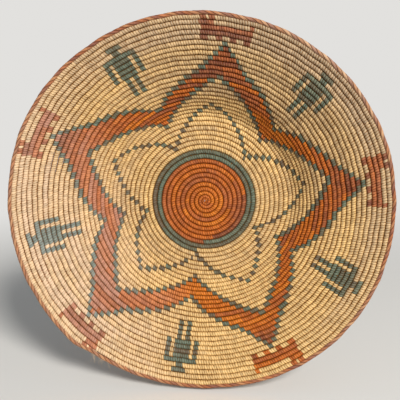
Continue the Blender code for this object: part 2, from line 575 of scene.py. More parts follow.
def new_stitch():
    """A barrel of radius 1 along z, one unit long, in its own mesh."""
    bm = bmesh.new()
    bmesh.ops.create_cone(bm, cap_ends=True, segments=sides_in_stitch, radius1=1.0, radius2=1.0, depth=1.0)
    long_edges = [edge for edge in bm.edges if abs(edge.verts[0].co.z - edge.verts[1].co.z) > near_end]
    bmesh.ops.subdivide_edges(bm, edges=long_edges, cuts=cuts_in_stitch, use_grid_fill=True)
    ends = [vert for vert in bm.verts if abs(vert.co.z) > near_end]
    waist = [vert for vert in bm.verts if abs(vert.co.z) < near_end]
    bmesh.ops.scale(bm, verts=ends, vec=(stitch_end_size, stitch_end_size, 1.0))
    # The cuts stand a third of the length apart, and are moved to the two ends of the flat part
    bmesh.ops.scale(bm, verts=waist, vec=(1.0, 1.0, flat_share * (cuts_in_stitch + 1)))
    return finish_mesh(bm, "stitch")


stitch = new_stitch()
print("one stitch has", len(stitch.polygons), "faces")

# %% [markdown]
# ## A string of stitches
# An Array modifier repeats the stitch along a straight line, like beads on a string. Then the string is
# bent: every vertex knows which bead it belongs to and where it sits on the bead, and moves to its
# place beside the spiral. The foundation and the strands of the rim are strings of short tubes, so the
# same helpers make them.

# %% Helpers for strings of beads
merge_distance = 0.0001


def new_string(name, bead, count, merged=False):
    """Mesh of a bead repeated along z, each one unit further on."""
    holder = add_object(name, bead)
    repeat = holder.modifiers.new("repeat", "ARRAY")
    repeat.use_relative_offset = False
    repeat.use_constant_offset = True
    repeat.constant_offset_displace = (0.0, 0.0, 1.0)
    repeat.count = count
    repeat.use_merge_vertices = merged
    repeat.merge_threshold = merge_distance
    depsgraph = bpy.context.evaluated_depsgraph_get()
    mesh = bpy.data.meshes.new_from_object(holder.evaluated_get(depsgraph))
    bpy.data.objects.remove(holder)
    mesh.name = name
    return mesh


def vertex_places(mesh):
    """Vertex coordinates as an array of rows."""
    places = np.empty(len(mesh.vertices) * 3)
    mesh.vertices.foreach_get("co", places)
    return places.reshape(-1, 3)


def set_vertices(mesh, places):
    """Moves all the vertices of a mesh at once."""
    mesh.vertices.foreach_set("co", places.astype(np.float32).ravel())
    mesh.update()


def add_attribute(mesh, name, *columns):
    """Keeps up to three numbers for each vertex, for a material to read."""
    rows = np.zeros((len(mesh.vertices), 3), np.float32)
    for place, column in enumerate(columns):
        rows[:, place] = column
    mesh.attributes.new(name, "FLOAT_VECTOR", "POINT").data.foreach_set("vector", rows.ravel())


# %% [markdown]
# A finished mesh becomes a piece of the basket. It rides on the frame's one body, takes its material, and
# may stand for nodes of the frame, which are then left out.

# %% Link a finished piece
def new_piece(name, mesh, material, slot, *nodes):
    """Links a finished mesh as a piece of the basket and hides the frame nodes it stands for."""
    piece = add_object(name, mesh)
    mesh.materials.clear()
    mesh.materials.append(material)
    mesh.shade_smooth()
    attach(piece, "root")
    if nodes:
        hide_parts(*nodes)
    print(f"{name}: {len(mesh.polygons)} faces")
    return piece


# %% [markdown]
# Each stitch leans a little, is a little thicker or thinner than the next, and bites into the turn
# before it. A hairline gap keeps it off its neighbour. All four differ from stitch to stitch.

# %% Vary the stitches
thickness_variation = 0.03
stitch_lean = 0.00075
lean_variation = 0.00035
bite = 0.0002
bite_range = (0.3, 1.4)
hairline = 0.02
hairline_range = (0.2, 2.2)

stitch_swell = random.uniform(1 - thickness_variation, 1 + thickness_variation, stitch_count)
stitch_leans = stitch_lean + random.uniform(-lean_variation, lean_variation, stitch_count)
stitch_bites = bite * random.uniform(*bite_range, stitch_count)
stitch_gaps = hairline * random.uniform(*hairline_range, stitch_count)
print(f"a stitch leans by {1000 * stitch_leans.min():.1f} to {1000 * stitch_leans.max():.1f} mm")

# %% [markdown]
# Attributes keep what the materials need later: the place on the splint, how high on the coil a point
# lies, the random tones of the stitch and of its splint, and how far the stitch has greyed.

# %% Wind a string of stitches onto the coil
front_fullness = 1.22
row_gap = 0.98


def wind_stitches(name, chosen):
    """Mesh of the chosen stitches, bent from a straight string to their places on the coil."""
    mesh = new_string(name, stitch, len(chosen))
    beads = vertex_places(mesh)
    order = np.arange(len(beads)) // len(stitch.vertices)
    which = chosen[order]
    along = beads[:, 2] - order
    size = np.hypot(beads[:, 0], beads[:, 1]) * stitch_swell[which]
    angle = np.arctan2(beads[:, 1], beads[:, 0])
    length = (edge_turns[which + 1] - edge_turns[which]) * (1 - stitch_gaps[which])
    turn = middle_turns[which] + along * length
    # The lean moves the outer side of the stitch on along the coil and its inner side back
    radius = profile_at(turn + 0.5)[0]
    turn = turn + stitch_leans[which] * np.cos(angle) / (2 * np.pi * radius)
    turn = np.clip(turn, 0.0, coil_end)
    inward = smooth(-np.cos(angle))
    across = coil_room(turn) / 2 * row_gap * size * np.cos(angle) - stitch_bites[which] * inward
    thickness = coil_lift(turn) * np.where(np.sin(angle) > 0, front_fullness, 1.0)
    off = thickness * taper_at(turn) * size * np.sin(angle)
    set_vertices(mesh, on_coil(turn, across, off))
    add_attribute(mesh, "splint_place", along * stitch_width, angle * coil_pitch / 2, np.abs(np.sin(angle)))
    add_attribute(mesh, "splint_tone", stitch_tones[which], splint_tones[which], splint_fading[which])
    add_attribute(mesh, "rim_greying", greying[which])
    return mesh


# %% [markdown]
# ## Shared finishes
# Bare and dyed splints are the same fibre. What they share is made once, as node groups: the fine
# streaks that run along every splint, the fading on the side that has faced a window, and the painted
# shade and dirt in the grooves. A group gives out a mask, and the shader stays in each material.

# %% Helpers for groups, numbers and noise
def new_group(name, inputs, outputs):
    """Node group with named number sockets; returns the group and its end nodes."""
    group = bpy.data.node_groups.new(name, "ShaderNodeTree")
    for socket, value in inputs.items():
        made = group.interface.new_socket(socket, in_out="INPUT", socket_type="NodeSocketFloat")
        made.default_value = value
    for socket in outputs:
        group.interface.new_socket(socket, in_out="OUTPUT", socket_type="NodeSocketFloat")
    return group, group.nodes.new("NodeGroupInput"), group.nodes.new("NodeGroupOutput")


def feed(tree, socket, value):
    """Gives an input its value: a link where the value is a socket, or else the value itself."""
    if isinstance(value, bpy.types.NodeSocket):
        tree.links.new(value, socket)
    else:
        socket.default_value = value


def add_math(tree, operation, *values):
    """Math node; each value is a socket or a number."""
    node = tree.nodes.new("ShaderNodeMath")
    node.operation = operation
    for socket, value in zip(node.inputs, values):
        feed(tree, socket, value)
    return node.outputs[0]


def add_range(tree, value, low, high, to_low=0.0, to_high=1.0):
    """Smooth step of a value from one range to another."""
    node = tree.nodes.new("ShaderNodeMapRange")
    node.interpolation_type = "SMOOTHSTEP"
    tree.links.new(value, node.inputs["Value"])
    node.inputs["From Min"].default_value = low
    node.inputs["From Max"].default_value = high
    node.inputs["To Min"].default_value = to_low
    node.inputs["To Max"].default_value = to_high
    return node.outputs["Result"]


def add_noise(tree, vector, scale, detail=2.0, roughness=0.5):
    """Noise between 0 and 1."""
    node = tree.nodes.new("ShaderNodeTexNoise")
    tree.links.new(vector, node.inputs["Vector"])
    node.inputs["Scale"].default_value = scale
    node.inputs["Detail"].default_value = detail
    node.inputs["Roughness"].default_value = roughness
    return node.outputs["Fac"]


# %% [markdown]
# The fibres of a splint are a noise that is stretched along it: quick across the splint, slow along it.
# The random tone of the stitch moves the noise on, so that no two stitches show the same streaks.

# %% Make the fibres
fibre_spacing = 0.00022
fibre_run = 0.0035
tone_shift = 91.0


def make_fibre_group():
    """Fine streaks along a splint, from its own coordinates and its random tone."""
    group, given, made = new_group("splint_fibres", {"Across": 0.0, "Along": 0.0, "Tone": 0.0}, ["Streaks"])
    place = group.nodes.new("ShaderNodeCombineXYZ")
    links = group.links
    links.new(add_math(group, "DIVIDE", given.outputs["Across"], fibre_spacing), place.inputs["X"])
    links.new(add_math(group, "DIVIDE", given.outputs["Along"], fibre_run), place.inputs["Y"])
    links.new(add_math(group, "MULTIPLY", given.outputs["Tone"], tone_shift), place.inputs["Z"])
    streaks = add_noise(group, place.outputs[0], scale=1.0, detail=3.0, roughness=0.6)
    links.new(streaks, made.inputs["Streaks"])
    return group


fibre_group = make_fibre_group()
print("shared group:", fibre_group.name)

# %% [markdown]
# The fade grows from the middle of the basket towards the lower left of its rim. It is measured along
# that direction, and a large soft noise makes its border patchy.

# %% Make the fade
fade_direction = math.radians(200.0)
fade_start = 0.055
fade_full = 0.190
fade_patchiness = 0.3
patch_scale = 22.0


def make_fade_group():
    """Mask of the side that has faded: 1 at the lower left of the rim, 0 from the middle rightwards."""
    group, given, made = new_group("window_fade", {"Patchiness": fade_patchiness, "Spread": 1.0}, ["Fade"])
    coordinates = group.nodes.new("ShaderNodeTexCoord").outputs["Object"]
    split = group.nodes.new("ShaderNodeSeparateXYZ")
    group.links.new(coordinates, split.inputs[0])
    sideways = add_math(group, "MULTIPLY", split.outputs["X"], math.cos(fade_direction))
    upwards = add_math(group, "MULTIPLY", split.outputs["Z"], math.sin(fade_direction))
    reach = add_math(group, "ADD", sideways, upwards)
    patches = add_math(group, "SUBTRACT", add_noise(group, coordinates, patch_scale), 0.5)
    patches = add_math(group, "MULTIPLY", patches, given.outputs["Patchiness"])
    patches = add_math(group, "MULTIPLY", patches, fade_full)
    reach = add_math(group, "ADD", reach, patches)
    reach = add_math(group, "MULTIPLY", reach, given.outputs["Spread"])
    group.links.new(add_range(group, reach, fade_start, fade_full), made.inputs["Fade"])
    return group


fade_group = make_fade_group()
print("shared group:", fade_group.name)

# %% [markdown]
# Shade and dirt are painted in two places: low in the groove between two turns, and in the notch between
# two stitches. The groove's edge is ragged, and some stitches have less painted shade in their notches.

# %% Make the painted shade and dirt
ragged_scale = 380.0
raggedness = 0.3
groove_full = 0.30
notch_from = 0.29
notch_full = 0.47
least_notch = 0.50


def make_shade_and_dirt_group():
    """Mask of painted shade and dirt in the grooves between the turns and in the notches between the
    stitches.
    """
    inputs = {"Height": 1.0, "Reach": 0.85, "Across": 0.0, "Tone": 0.5}
    group, given, made = new_group("groove_shade_and_dirt", inputs, ["Dirt"])
    coordinates = group.nodes.new("ShaderNodeTexCoord").outputs["Object"]
    ragged = add_math(group, "SUBTRACT", add_noise(group, coordinates, ragged_scale), 0.5)
    ragged = add_math(group, "MULTIPLY", ragged, raggedness)
    height = add_math(group, "ADD", given.outputs["Height"], ragged)
    height = add_math(group, "DIVIDE", height, given.outputs["Reach"])
    groove = add_range(group, height, groove_full, 1.0, 1.0, 0.0)
    edge = add_math(group, "ABSOLUTE", add_math(group, "DIVIDE", given.outputs["Across"], stitch_width))
    depth = add_range(group, given.outputs["Tone"], 0.0, 1.0, 1.0, least_notch)
    notch = add_math(group, "MULTIPLY", add_range(group, edge, notch_from, notch_full), depth)
    group.links.new(add_math(group, "MAXIMUM", groove, notch), made.inputs["Dirt"])
    return group


shade_and_dirt_group = make_shade_and_dirt_group()
print("shared group:", shade_and_dirt_group.name)

# %% [markdown]
# ## The splint material
# One function makes all three: bare, rust and green. It picks a colour between deep and pale by the
# random tones. From there it moves towards a worn colour on top of the coil, which is wear and a painted
# sheen together, towards grey near the rim and towards a faded colour by the fade mask. Then it darkens
# the fibres, paints shade and dirt into the grooves, and raises the fibres with a small bump. The rest of
# the sheen of the splints comes from the shader.

# %% Helpers for materials
def new_material(name):
    """New material; returns it, its node tree and its shader."""
    material = bpy.data.materials.new(name)
    material.use_nodes = True
    return material, material.node_tree, material.node_tree.nodes["Principled BSDF"]


def use_group(tree, group, **values):
    """Places a group in a material, each input a socket or a number; returns what it gives out."""
    node = tree.nodes.new("ShaderNodeGroup")
    node.node_tree = group
    for name, value in values.items():
        feed(tree, node.inputs[name], value)
    return node.outputs[0]


def read_attribute(tree, name):
    """The three numbers that the mesh keeps under this name."""
    attribute = tree.nodes.new("ShaderNodeAttribute")
    attribute.attribute_name = name
    split = tree.nodes.new("ShaderNodeSeparateXYZ")
    tree.links.new(attribute.outputs["Vector"], split.inputs[0])
    return split.outputs


def add_ramp(tree, value, stops):
    """Colour ramp; each stop is its place and its colour."""
    node = tree.nodes.new("ShaderNodeValToRGB")
    tree.links.new(value, node.inputs["Fac"])
    elements = node.color_ramp.elements
    while len(elements) < len(stops):
        elements.new(1.0)
    for element, (place, colour) in zip(elements, stops):
        element.position = place
        element.color = (*colour, 1.0)
    return node.outputs["Color"]


def add_mix(tree, factor, first, second, blend="MIX"):
    """Colour mix; each colour is a socket or three numbers."""
    node = tree.nodes.new("ShaderNodeMix")
    node.data_type = "RGBA"
    node.blend_type = blend
    node.clamp_result = False
    inputs = {socket.identifier: socket for socket in node.inputs}
    feed(tree, inputs["Factor_Float"], factor)
    for name, colour in (("A_Color", first), ("B_Color", second)):
        if not isinstance(colour, bpy.types.NodeSocket):
            colour = (*colour, 1.0)
        feed(tree, inputs[name], colour)
    return next(socket for socket in node.outputs if socket.identifier == "Result_Color")


def add_shade(tree, colour, shade):
    """Multiplies a colour by a lightness."""
    grey = tree.nodes.new("ShaderNodeCombineColor")
    for channel in ("Red", "Green", "Blue"):
        tree.links.new(shade, grey.inputs[channel])
    return add_mix(tree, 1.0, colour, grey.outputs[0], "MULTIPLY")


def add_bump(tree, height, distance, strength=1.0):
    """Fine relief, as a normal for the shader."""
    bump = tree.nodes.new("ShaderNodeBump")
    bump.inputs["Strength"].default_value = strength
    bump.inputs["Distance"].default_value = distance
    tree.links.new(height, bump.inputs["Height"])
    return bump.outputs["Normal"]


# %% Describe a splint material
fibre_contrast = (0.30, 0.70)
own_tone_shift = 0.16
fibre_heights = (0.90, 1.08)
# Wear with a painted sheen on top of the coil: the worn colour is mixed in there
worn_sheen_height = 0.84
worn_sheen_share = 0.27
greyed = (0.50, 0.40, 0.32)
pale_streak_share = 0.6
stitch_lights = (0.86, 1.08)
# Share of the painted shade and dirt taken off on the lower left, which faces the lamp
lit_side_shade_cut = 0.5
splint_gloss = 0.05
gloss_contrast = (0.2, 0.8)
roughness_swing = 0.08
groove_roughness = 0.35
fibre_relief = 0.00012
fibre_relief_strength = 0.5


def new_splint_material(
    name, tones, worn, faded, shade_and_dirt, shade_and_dirt_reach, shade_and_dirt_amount, roughness, fade_amounts, fade_spread,
    streak_amount, greying_amount,
):
    """Plant splint with its fibres, tones, fading, wear with painted sheen, and painted shade and dirt."""
    material, tree, shader = new_material(name)
    across, along, height = read_attribute(tree, "splint_place")
    stitch_tone, splint_tone, fading = read_attribute(tree, "splint_tone")
    fibres = use_group(tree, fibre_group, Across=across, Along=along, Tone=stitch_tone)
    window = use_group(tree, fade_group, Patchiness=fade_patchiness, Spread=fade_spread)
    shade_and_dirt_mask = use_group(tree, shade_and_dirt_group, Height=height, Reach=shade_and_dirt_reach, Across=across, Tone=stitch_tone)

    # Tone, wear with painted sheen on top of the coil, greying and fading
    own_shift = add_math(tree, "MULTIPLY", add_math(tree, "SUBTRACT", stitch_tone, 0.5), own_tone_shift)
    colour = add_ramp(tree, add_math(tree, "ADD", splint_tone, own_shift), tones)
    raised = add_math(tree, "MULTIPLY", height, add_range(tree, fibres, *fibre_contrast, *fibre_heights))
    worn_sheen = add_range(tree, raised, worn_sheen_height, 1.0)
    colour = add_mix(tree, add_math(tree, "MULTIPLY", worn_sheen, worn_sheen_share), colour, worn)
    grey = add_math(tree, "MULTIPLY", read_attribute(tree, "rim_greying")[0], greying_amount)
    colour = add_mix(tree, grey, colour, greyed)
    fade = add_math(tree, "MULTIPLY", window, add_range(tree, fading, 0.0, 1.0, *fade_amounts))
    colour = add_mix(tree, fade, colour, faded)

    # Streaks of the fibres, and the lightness of each stitch
    streak_lights = (1.0 - streak_amount, 1.0 + streak_amount * pale_streak_share)
    streaks = add_range(tree, fibres, *fibre_contrast, *streak_lights)
    stitch_light = add_range(tree, stitch_tone, 0.0, 1.0, *stitch_lights)
    colour = add_shade(tree, colour, add_math(tree, "MULTIPLY", streaks, stitch_light))

    # Painted shade and dirt, kept lighter on the faded lower left, where the wall faces the lamp
    shade_and_dirt_kept = add_range(tree, window, 0.0, 1.0, shade_and_dirt_amount, shade_and_dirt_amount * (1.0 - lit_side_shade_cut))
    colour = add_mix(tree, add_math(tree, "MULTIPLY", shade_and_dirt_mask, shade_and_dirt_kept), colour, shade_and_dirt)
    tree.links.new(colour, shader.inputs["Base Color"])

    # Sheen and relief
    shader.inputs["Specular IOR Level"].default_value = splint_gloss
    fibre_roughness = (roughness + roughness_swing, roughness - roughness_swing)
    rough = add_range(tree, fibres, *gloss_contrast, *fibre_roughness)
    rough = add_math(tree, "ADD", rough, add_math(tree, "MULTIPLY", shade_and_dirt_mask, groove_roughness))
    tree.links.new(rough, shader.inputs["Roughness"])
    relief = add_bump(tree, fibres, fibre_relief, fibre_relief_strength)
    tree.links.new(relief, shader.inputs["Normal"])
    return material


# %% [markdown]
# The tones of a material run from the deepest splint to the palest. Deep rust is nearly brown, and deep
# green is an olive brown. The dyed splints fade less evenly than the bare ones, show their fibres more
# and hold painted shade and dirt further up the coil. The fade of the rust ones also reaches further
# towards the middle.

# %% Make the splint materials
bare_splint = new_splint_material(
    "bare_splint",
    tones=(
        (0.0, (0.45, 0.310, 0.160)),
        (0.3, (0.64, 0.435, 0.205)),
        (0.65, (0.73, 0.485, 0.203)),
        (1.0, (0.80, 0.54, 0.225)),
    ),
    worn=(0.86, 0.66, 0.41),
    faded=(0.75, 0.555, 0.385),
    shade_and_dirt=(0.29, 0.115, 0.016),
    shade_and_dirt_reach=0.72,
    shade_and_dirt_amount=0.96,
    roughness=0.52,
    fade_amounts=(0.65, 1.0),
    fade_spread=1.0,
    streak_amount=0.10,
    greying_amount=0.38,
)
rust_splint = new_splint_material(
    "rust_splint",
    tones=(
        (0.0, (0.18, 0.070, 0.042)),
        (0.3, (0.38, 0.117, 0.044)),
        (0.65, (0.54, 0.145, 0.024)),
        (1.0, (0.66, 0.200, 0.024)),
    ),
    worn=(0.66, 0.27, 0.115),
    faded=(0.52, 0.275, 0.195),
    shade_and_dirt=(0.15, 0.014, 0.0005),
    shade_and_dirt_reach=0.82,
    shade_and_dirt_amount=0.97,
    roughness=0.50,
    fade_amounts=(0.35, 1.0),
    fade_spread=1.45,
    streak_amount=0.16,
    greying_amount=0.12,
)
green_splint = new_splint_material(
    "green_splint",
    tones=(
        (0.0, (0.160, 0.110, 0.070)),
        (0.3, (0.145, 0.138, 0.090)),
        (0.7, (0.125, 0.165, 0.120)),
        (1.0, (0.180, 0.205, 0.140)),
    ),
    worn=(0.28, 0.29, 0.235),
    faded=(0.29, 0.32, 0.29),
    shade_and_dirt=(0.065, 0.036, 0.010),
    shade_and_dirt_reach=0.80,
    shade_and_dirt_amount=0.95,
    roughness=0.52,
    fade_amounts=(0.6, 1.0),
    fade_spread=1.0,
    streak_amount=0.18,
    greying_amount=0.06,
)
print("splint materials:", bare_splint.name, rust_splint.name, green_splint.name)

# %% [markdown]
# ## The stitched coil
# The stitches are made as one piece for each motif, and the bare ones as one piece for each stretch of
# coil that the frame has. That keeps each mesh small enough, and lets a buyer recolour one motif.

# %% Wind the bare stitches, stretch by stretch
stretches = {
    "base": (ring_end, 19.72),
    "shoulder": (19.72, 23.72),
    "star": (23.72, 29.72),
    "figure": (29.72, 35.72),
    "field": (35.72, 40.65),
    "rim": (40.65, coil_end),
}
for stretch, (start, end) in stretches.items():
    chosen = np.flatnonzero((motif == "field") & (middle_turns >= start) & (middle_turns < end))
    mesh = wind_stitches(f"{stretch}_stitches_bare", chosen)
    new_piece(f"{stretch}_stitches_bare", mesh, bare_splint, "natural_splint", f"{stretch}_coil")

# %% Wind the dyed stitches, motif by motif
dyed_motifs = (
    ("start_knot", rust_splint, "rust_splint", ["start_knot"]),
    ("medallion", rust_splint, "rust_splint", ["medallion_coil"]),
    ("green_ring", green_splint, "green_splint", ["green_ring_coil"]),
    ("petal_line", green_splint, "green_splint", []),
    ("star_outline", green_splint, "green_splint", []),
    ("star", rust_splint, "rust_splint", []),
    ("people", green_splint, "green_splint", []),
    ("animals", rust_splint, "rust_splint", []),
)
for name, material, slot, nodes in dyed_motifs:
    mesh = wind_stitches(f"{name}_stitches", np.flatnonzero(motif == name))
    new_piece(f"{name}_stitches", mesh, material, slot, *nodes)

# %% [markdown]
# The very first turn is too tight to close up by itself. The weaver starts with a knot of splint, and
# a little of it still shows in the middle. A flattened ball with the same finish fills that place.

# %% Close the middle
knot_core_radius = 0.0019
knot_core_height = 0.0018
knot_core_x = drift_x + 0.0008
knot_core_z = drift_z - 0.0009
knot_core_turn = 0.5
knot_core_segments = 16
knot_core_rings = 10
knot_core_narrowing = 0.5
knot_core_tones = (0.5, 0.7)


def new_knot_core():
    """Flattened ball in the middle of the first turn, with the attributes of a stitch."""
    lift = float(coil_lift(knot_core_turn))
    upright = Matrix.Rotation(math.pi / 2, 3, "X")
    bm = bmesh.new()
    bmesh.ops.create_uvsphere(bm, u_segments=knot_core_segments, v_segments=knot_core_rings, radius=1.0)
    bmesh.ops.scale(bm, verts=bm.verts, vec=(knot_core_radius, knot_core_radius, knot_core_height))
    bmesh.ops.rotate(bm, verts=bm.verts, cent=(0.0, 0.0, 0.0), matrix=upright)
    bmesh.ops.translate(bm, verts=bm.verts, vec=(knot_core_x, -lift, knot_core_z))
    mesh = finish_mesh(bm, "start_knot_core")
    places = vertex_places(mesh)
    height = np.abs(places[:, 1] + lift) / knot_core_height
    add_attribute(mesh, "splint_place", places[:, 0] * knot_core_narrowing, places[:, 2], height)
    add_attribute(mesh, "splint_tone", *knot_core_tones)
    return mesh


new_piece("start_knot_core", new_knot_core(), rust_splint, "rust_splint")

# %% [markdown]
# ## The foundation
# Inside the stitches runs the foundation, a bundle of dry grass. Only slivers of it show between the
# stitches, so a plain tube is enough, wound by the same function. Its material is a fine noise between
# two browns, both painted dark as the shade under the stitches.

# %% Make the dry grass
blade_scale = 900.0
blade_contrast = (0.35, 0.65)
# Both browns are painted dark, as shade
shaded_deep_grass = (0.17, 0.055, 0.006)
shaded_pale_grass = (0.30, 0.125, 0.020)
grass_roughness = 0.8
grass_gloss = 0.02
grass_relief = 0.0002


def new_grass_material():
    """Dry grass, painted dark as the shade under the stitches."""
    material, tree, shader = new_material("dry_grass_in_shade")
    coordinates = tree.nodes.new("ShaderNodeTexCoord").outputs["Object"]
    blades = add_noise(tree, coordinates, blade_scale, detail=3.0, roughness=0.6)
    colour = add_mix(tree, add_range(tree, blades, *blade_contrast), shaded_deep_grass, shaded_pale_grass)
    tree.links.new(colour, shader.inputs["Base Color"])
    shader.inputs["Roughness"].default_value = grass_roughness
    shader.inputs["Specular IOR Level"].default_value = grass_gloss
    tree.links.new(add_bump(tree, blades, grass_relief), shader.inputs["Normal"])
    return material


dry_grass_in_shade = new_grass_material()
print("foundation material:", dry_grass_in_shade.name)

# %% [markdown]
# The tube is one short length repeated along the whole coil, with its seams merged and its two ends
# closed. The sewing squeezes the foundation flat: it is wider than it is thick, so that neighbouring
# turns touch and no light comes through the grooves.

# %% Wind the foundation
foundation_width = 1.06
foundation_thickness = 0.72
sides_in_foundation = 8
foundation_steps = 72


def new_segment(sides):
    """Open length of tube of radius 1 along z, one unit long."""
    bm = bmesh.new()
    bmesh.ops.create_cone(bm, cap_ends=False, segments=sides, radius1=1.0, radius2=1.0, depth=1.0)
    return finish_mesh(bm, "segment")


def close_ends(mesh):
    """Caps the open ends of a tube and turns its faces outwards."""
    bm = bmesh.new()
    bm.from_mesh(mesh)
    bmesh.ops.holes_fill(bm, edges=[edge for edge in bm.edges if edge.is_boundary])
    bmesh.ops.recalc_face_normals(bm, faces=bm.faces)
    bm.to_mesh(mesh)
    bm.free()


def wind_foundation():
    """The whole foundation as one tube inside the stitches."""
    step_total = int(coil_end * foundation_steps)
    mesh = new_string("foundation", new_segment(sides_in_foundation), step_total, merged=True)
    tube = vertex_places(mesh)
    turn = np.clip((tube[:, 2] + 0.5) / foundation_steps, 0.0, coil_end)
    angle = np.arctan2(tube[:, 1], tube[:, 0])
    across = coil_room(turn) / 2 * foundation_width * np.cos(angle)
    off = coil_lift(turn) * taper_at(turn) * foundation_thickness * np.sin(angle)
    set_vertices(mesh, on_coil(turn, across, off))
    close_ends(mesh)
    return mesh


new_piece("foundation", wind_foundation(), dry_grass_in_shade, "natural_splint")

# %% [markdown]
# ## The braided rim
# The last turn is finished with a braid. Three strands, dyed brick, salmon and mauve, are laid round
# each other along the edge. A strand is a flattened tube whose centre circles the line of the braid
# while the line circles the basket. The line follows the frame: it hugs the outer edge of the last
# turn and steps down where that turn ends.

# %% Follow the outer edge of the rim
braid_thickness = 0.0041
braid_clearance = 0.0003
braid_ease_turns = 0.03
braid_hug = 0.0011
braid_forward = 0.0004


def rim_edge(angle_turns):
    """Outer edge of the outermost turn at this angle, as a turn count of the profile."""
    behind_end = (coil_end - angle_turns) % 1.0
    turn = coil_end - behind_end
    after_end = 1.0 - behind_end
    return turn + taper_at(turn) + tip_width * (1.0 - smooth(after_end / braid_ease_turns))


def on_braid(place, across, off):
    """World points beside the line of the braid; the place goes from 0 to 1 round the rim."""
    stand_off = braid_thickness / 2 + braid_clearance - coil_gap / 2 - braid_hug
    lift = coil_lift(coil_end - 1.0) + braid_forward
    return off_profile(2 * np.pi * place, rim_edge(place), lift, stand_off + across, off)


print("the braid starts at", np.round(on_braid(0.0, 0.0, 0.0), 4))

# %% [markdown]
# No strand is laid quite evenly. Its lay, its distance from the middle of the braid and its width each
# swell and shrink by a few waves, whose whole counts round the rim let the strand close on itself.
# Another attribute keeps the two places where the rim is paler.

# %% Lay a strand
strand_rounds = 54
strand_steps = 16
sides_in_strand = 10
strand_offset = 0.27
strand_width = 0.40
strand_flatness = 0.62
lay_waves = (11, 19, 43)
lay_swing = 0.5
lay_phase = 0.4
offset_waves = (37, 61, 97)
offset_swing = 0.10
offset_phase = 0.1
offset_phase_step = 0.17
width_waves = (29, 83, 131)
width_swing = 0.12
width_phase_step = 0.31
pale_places = ((48.0, 52.0, 0.8), (325.0, 30.0, 0.4))
seam_distance = 0.00001


def wave(place, counts, phase):
    """Uneven swelling along the braid that closes on itself."""
    total = sum(np.sin(2 * np.pi * (count * place + phase * count)) for count in counts)
    return total / len(counts)


def close_seam(mesh):
    """Joins the two ends of a closed tube and turns its faces outwards."""
    bm = bmesh.new()
    bm.from_mesh(mesh)
    bmesh.ops.remove_doubles(bm, verts=bm.verts, dist=seam_distance)
    bmesh.ops.recalc_face_normals(bm, faces=bm.faces)
    bm.to_mesh(mesh)
    bm.free()


def wind_strand(name, strand, strands):
    """One strand of the braid, closed on itself."""
    count = strand_rounds * strand_steps
    mesh = new_string(name, new_segment(sides_in_strand), count, merged=True)
    tube = vertex_places(mesh)
    place = (tube[:, 2] + 0.5) / count
    side = np.arctan2(tube[:, 1], tube[:, 0])
    lay = -2 * np.pi * (strand_rounds * place + strand / strands)
    lay = lay + lay_swing * wave(place, lay_waves, lay_phase)
    uneven = 1.0 + offset_swing * wave(place, offset_waves, offset_phase_step * strand + offset_phase)
    swelling = 1.0 + width_swing * wave(place, width_waves, width_phase_step * strand)
    offset = braid_thickness * strand_offset * uneven
    wide = braid_thickness * strand_width * swelling
    # Out from the braid's line, and round it, at this place on the strand
    out = offset + wide * strand_flatness * np.cos(side)
    round_it = wide * np.sin(side)
    across = out * np.cos(lay) - round_it * np.sin(lay)
    off = out * np.sin(lay) + round_it * np.cos(lay)
    set_vertices(mesh, on_braid(place, across, off))
    length = 2 * np.pi * rim_radius * place
    add_attribute(mesh, "splint_place", wide * side, length, np.cos(side))
    add_attribute(mesh, "rim_pale", add_bumps(pale_places, 360.0 * place))
    close_seam(mesh)
    return mesh


# %% [markdown]
# The dye of a strand has worn off in patches and has faded on the same side as the stitches. The
# furrows between the fibres are dark, and shade is painted where the strands meet. All three strands
# share this finish.

# %% Describe the strands' finish
wear_scale = 85.0
wear_contrast = (0.38, 0.66)
strand_fade_share = 0.65
furrow_contrast = (0.30, 0.62)
fibre_furrow_share = 0.45
fibre_furrow = (0.09, 0.032, 0.014)
# Painted shade on the inner side of each strand, where it meets the others
strand_edge = (-0.2, 0.85)
strand_furrow_shade_share = 0.75
strand_furrow_shade = (0.07, 0.020, 0.008)
strand_roughness = (0.72, 0.58)
strand_relief = 0.0002


def new_strand_material(name, colour, worn, pale, faded):
    """Dyed rim strand, worn in patches, with fibres along it and painted shade where the strands meet."""
    material, tree, shader = new_material(name)
    coordinates = tree.nodes.new("ShaderNodeTexCoord").outputs["Object"]
    across, along, outwards = read_attribute(tree, "splint_place")
    patches = add_noise(tree, coordinates, wear_scale, detail=3.0, roughness=0.6)
    fine = use_group(tree, fibre_group, Across=across, Along=along, Tone=0.5)
    fade = use_group(tree, fade_group, Patchiness=fade_patchiness)
    base = add_mix(tree, add_range(tree, patches, *wear_contrast), colour, worn)
    base = add_mix(tree, read_attribute(tree, "rim_pale")[0], base, pale)
    base = add_mix(tree, add_math(tree, "MULTIPLY", fade, strand_fade_share), base, faded)
    between_fibres = add_range(tree, fine, *furrow_contrast, fibre_furrow_share, 0.0)
    base = add_mix(tree, between_fibres, base, fibre_furrow)
    # Painted shade where the strands meet
    shade_between_strands = add_range(tree, outwards, *strand_edge, strand_furrow_shade_share, 0.0)
    base = add_mix(tree, shade_between_strands, base, strand_furrow_shade)
    tree.links.new(base, shader.inputs["Base Color"])
    shader.inputs["Specular IOR Level"].default_value = splint_gloss
    rough = add_range(tree, fine, *gloss_contrast, *strand_roughness)
    tree.links.new(rough, shader.inputs["Roughness"])
    tree.links.new(add_bump(tree, fine, strand_relief), shader.inputs["Normal"])
    return material


# %% [markdown]
# Each dye has four colours: fresh, worn, pale and faded. The strands start a third of a round apart,
# and the first of them stands for the frame's plain braid.

